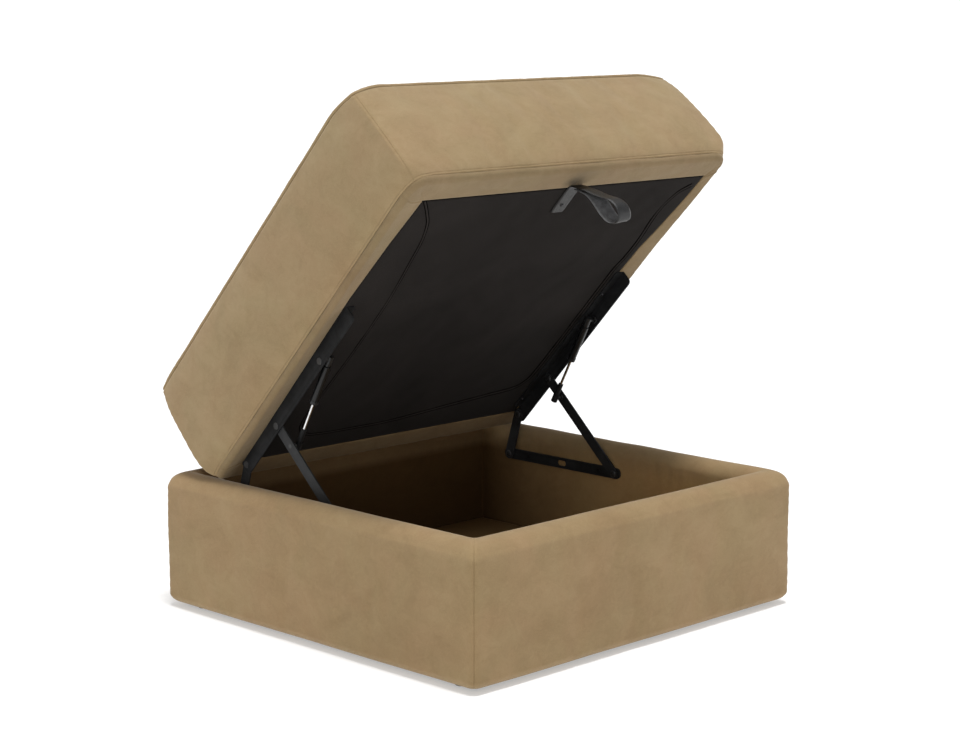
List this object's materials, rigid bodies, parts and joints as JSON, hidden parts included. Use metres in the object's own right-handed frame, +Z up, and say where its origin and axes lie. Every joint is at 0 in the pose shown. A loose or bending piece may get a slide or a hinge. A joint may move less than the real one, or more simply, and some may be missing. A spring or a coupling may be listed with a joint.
{
  "type": "storage ottoman",
  "caption": "Square upholstered storage ottoman with a thick padded lid on gas-lift linkage hinges, shown open over its padded box.",
  "frame": {"origin": "on the floor, at the bottom centre of the bounding box of the ottoman with its lid open", "axes": "+Z up, the front that the lid opens towards is -Y, the left side is -X"},
  "size_m": [0.86, 0.8731, 1.0088],
  "materials": {
    "upholstery": "matte",
    "timber": "matte",
    "foam": "matte",
    "dust_cover": "matte",
    "glide": "matte",
    "hinge": "satin",
    "strut": "satin",
    "strut_end": "satin",
    "rod": "polished",
    "screw": "satin",
    "strap": "satin"
  },
  "bodies": {
    "base": {"base_bar_left": "hinge", "base_bar_right": "hinge", "base_bar_screws_left": "screw", "base_bar_screws_right": "screw", "base_board_back": "timber", "base_board_front": "timber", "base_board_left": "timber", "base_board_right": "timber", "base_dust_cover": "dust_cover", "base_pad_back": "upholstery", "base_pad_front": "upholstery", "base_pad_left": "upholstery", "base_pad_right": "upholstery", "base_pins_left": "hinge", "base_pins_right": "hinge", "floor_lining": "upholstery", "floor_panel": "timber", "glide_back_left": "glide", "glide_back_right": "glide", "glide_front_left": "glide", "glide_front_right": "glide"},
    "front_links": {"front_link_left": "hinge", "front_link_pins_left": "hinge", "front_link_pins_right": "hinge", "front_link_right": "hinge"},
    "lid": {"hinge_rail_left": "hinge", "hinge_rail_right": "hinge", "lid_border_back": "upholstery", "lid_border_front": "upholstery", "lid_border_left": "upholstery", "lid_border_right": "upholstery", "lid_deck": "timber", "lid_dust_cover": "dust_cover", "lid_foam": "foam", "lid_frame_back": "timber", "lid_frame_front": "timber", "lid_frame_left": "timber", "lid_frame_right": "timber", "lid_panel_back": "upholstery", "lid_panel_front": "upholstery", "lid_panel_left": "upholstery", "lid_panel_right": "upholstery", "lid_top_panel": "upholstery", "lid_welt": "upholstery", "rail_pins_left": "hinge", "rail_pins_right": "hinge", "rail_screws_left": "screw", "rail_screws_right": "screw", "strap_screw": "screw", "strap_tail": "strap"},
    "rear_links": {"rear_link_left": "hinge", "rear_link_right": "hinge"},
    "strap": {"strap_loop": "strap"},
    "strut_cylinders": {"strut_cylinder_left": "strut", "strut_cylinder_right": "strut"},
    "strut_rods": {"strut_rod_end_left": "strut_end", "strut_rod_end_right": "strut_end", "strut_rod_left": "rod", "strut_rod_right": "rod"}
  },
  "joints": [
    {"name": "rear_links_swing", "type": "hinge", "parent": "base", "child": "rear_links", "pos_m": [0, 0.25601, 0.20399], "axis": [1, 0, 0], "range_deg": [-71.16, 0]},
    {"name": "lid_lift", "type": "hinge", "parent": "rear_links", "child": "lid", "pos_m": [0, 0.23039, 0.29091], "axis": [1, 0, 0], "range_deg": [0, 118.5], "stiffness_Nm_per_rad": 4.8, "springref_deg": -177.62},
    {"name": "front_links_swing", "type": "hinge", "parent": "base", "child": "front_links", "pos_m": [0, -0.03794, 0.20399], "axis": [1, 0, 0], "range_deg": [-33.08, 0]},
    {"name": "strut_swing", "type": "hinge", "parent": "lid", "child": "strut_cylinders", "pos_m": [0, 0.01931, 0.51176], "axis": [1, 0, 0], "range_deg": [0, 10.95]},
    {"name": "rod_slide", "type": "slide", "parent": "strut_cylinders", "child": "strut_rods", "axis": [0, 0.4634, -0.8861], "range_m": [-0.05496, 0]},
    {"name": "strap_swing", "type": "hinge", "parent": "lid", "child": "strap", "pos_m": [0, -0.24609, 0.81728], "axis": [1, 0, 0], "range_deg": [0, 60.01]}
  ],
  "couplings": [
    {"joint": "rear_links_swing", "follows": "lid_lift", "ratio": -0.60044},
    {"joint": "front_links_swing", "follows": "lid_lift", "ratio": -0.27907},
    {"joint": "strut_swing", "follows": "lid_lift", "ratio": 0.092287},
    {"joint": "rod_slide", "follows": "lid_lift", "m_per_rad": -0.026548},
    {"joint": "strap_swing", "follows": "lid_lift", "ratio": 0.50631}
  ]
}
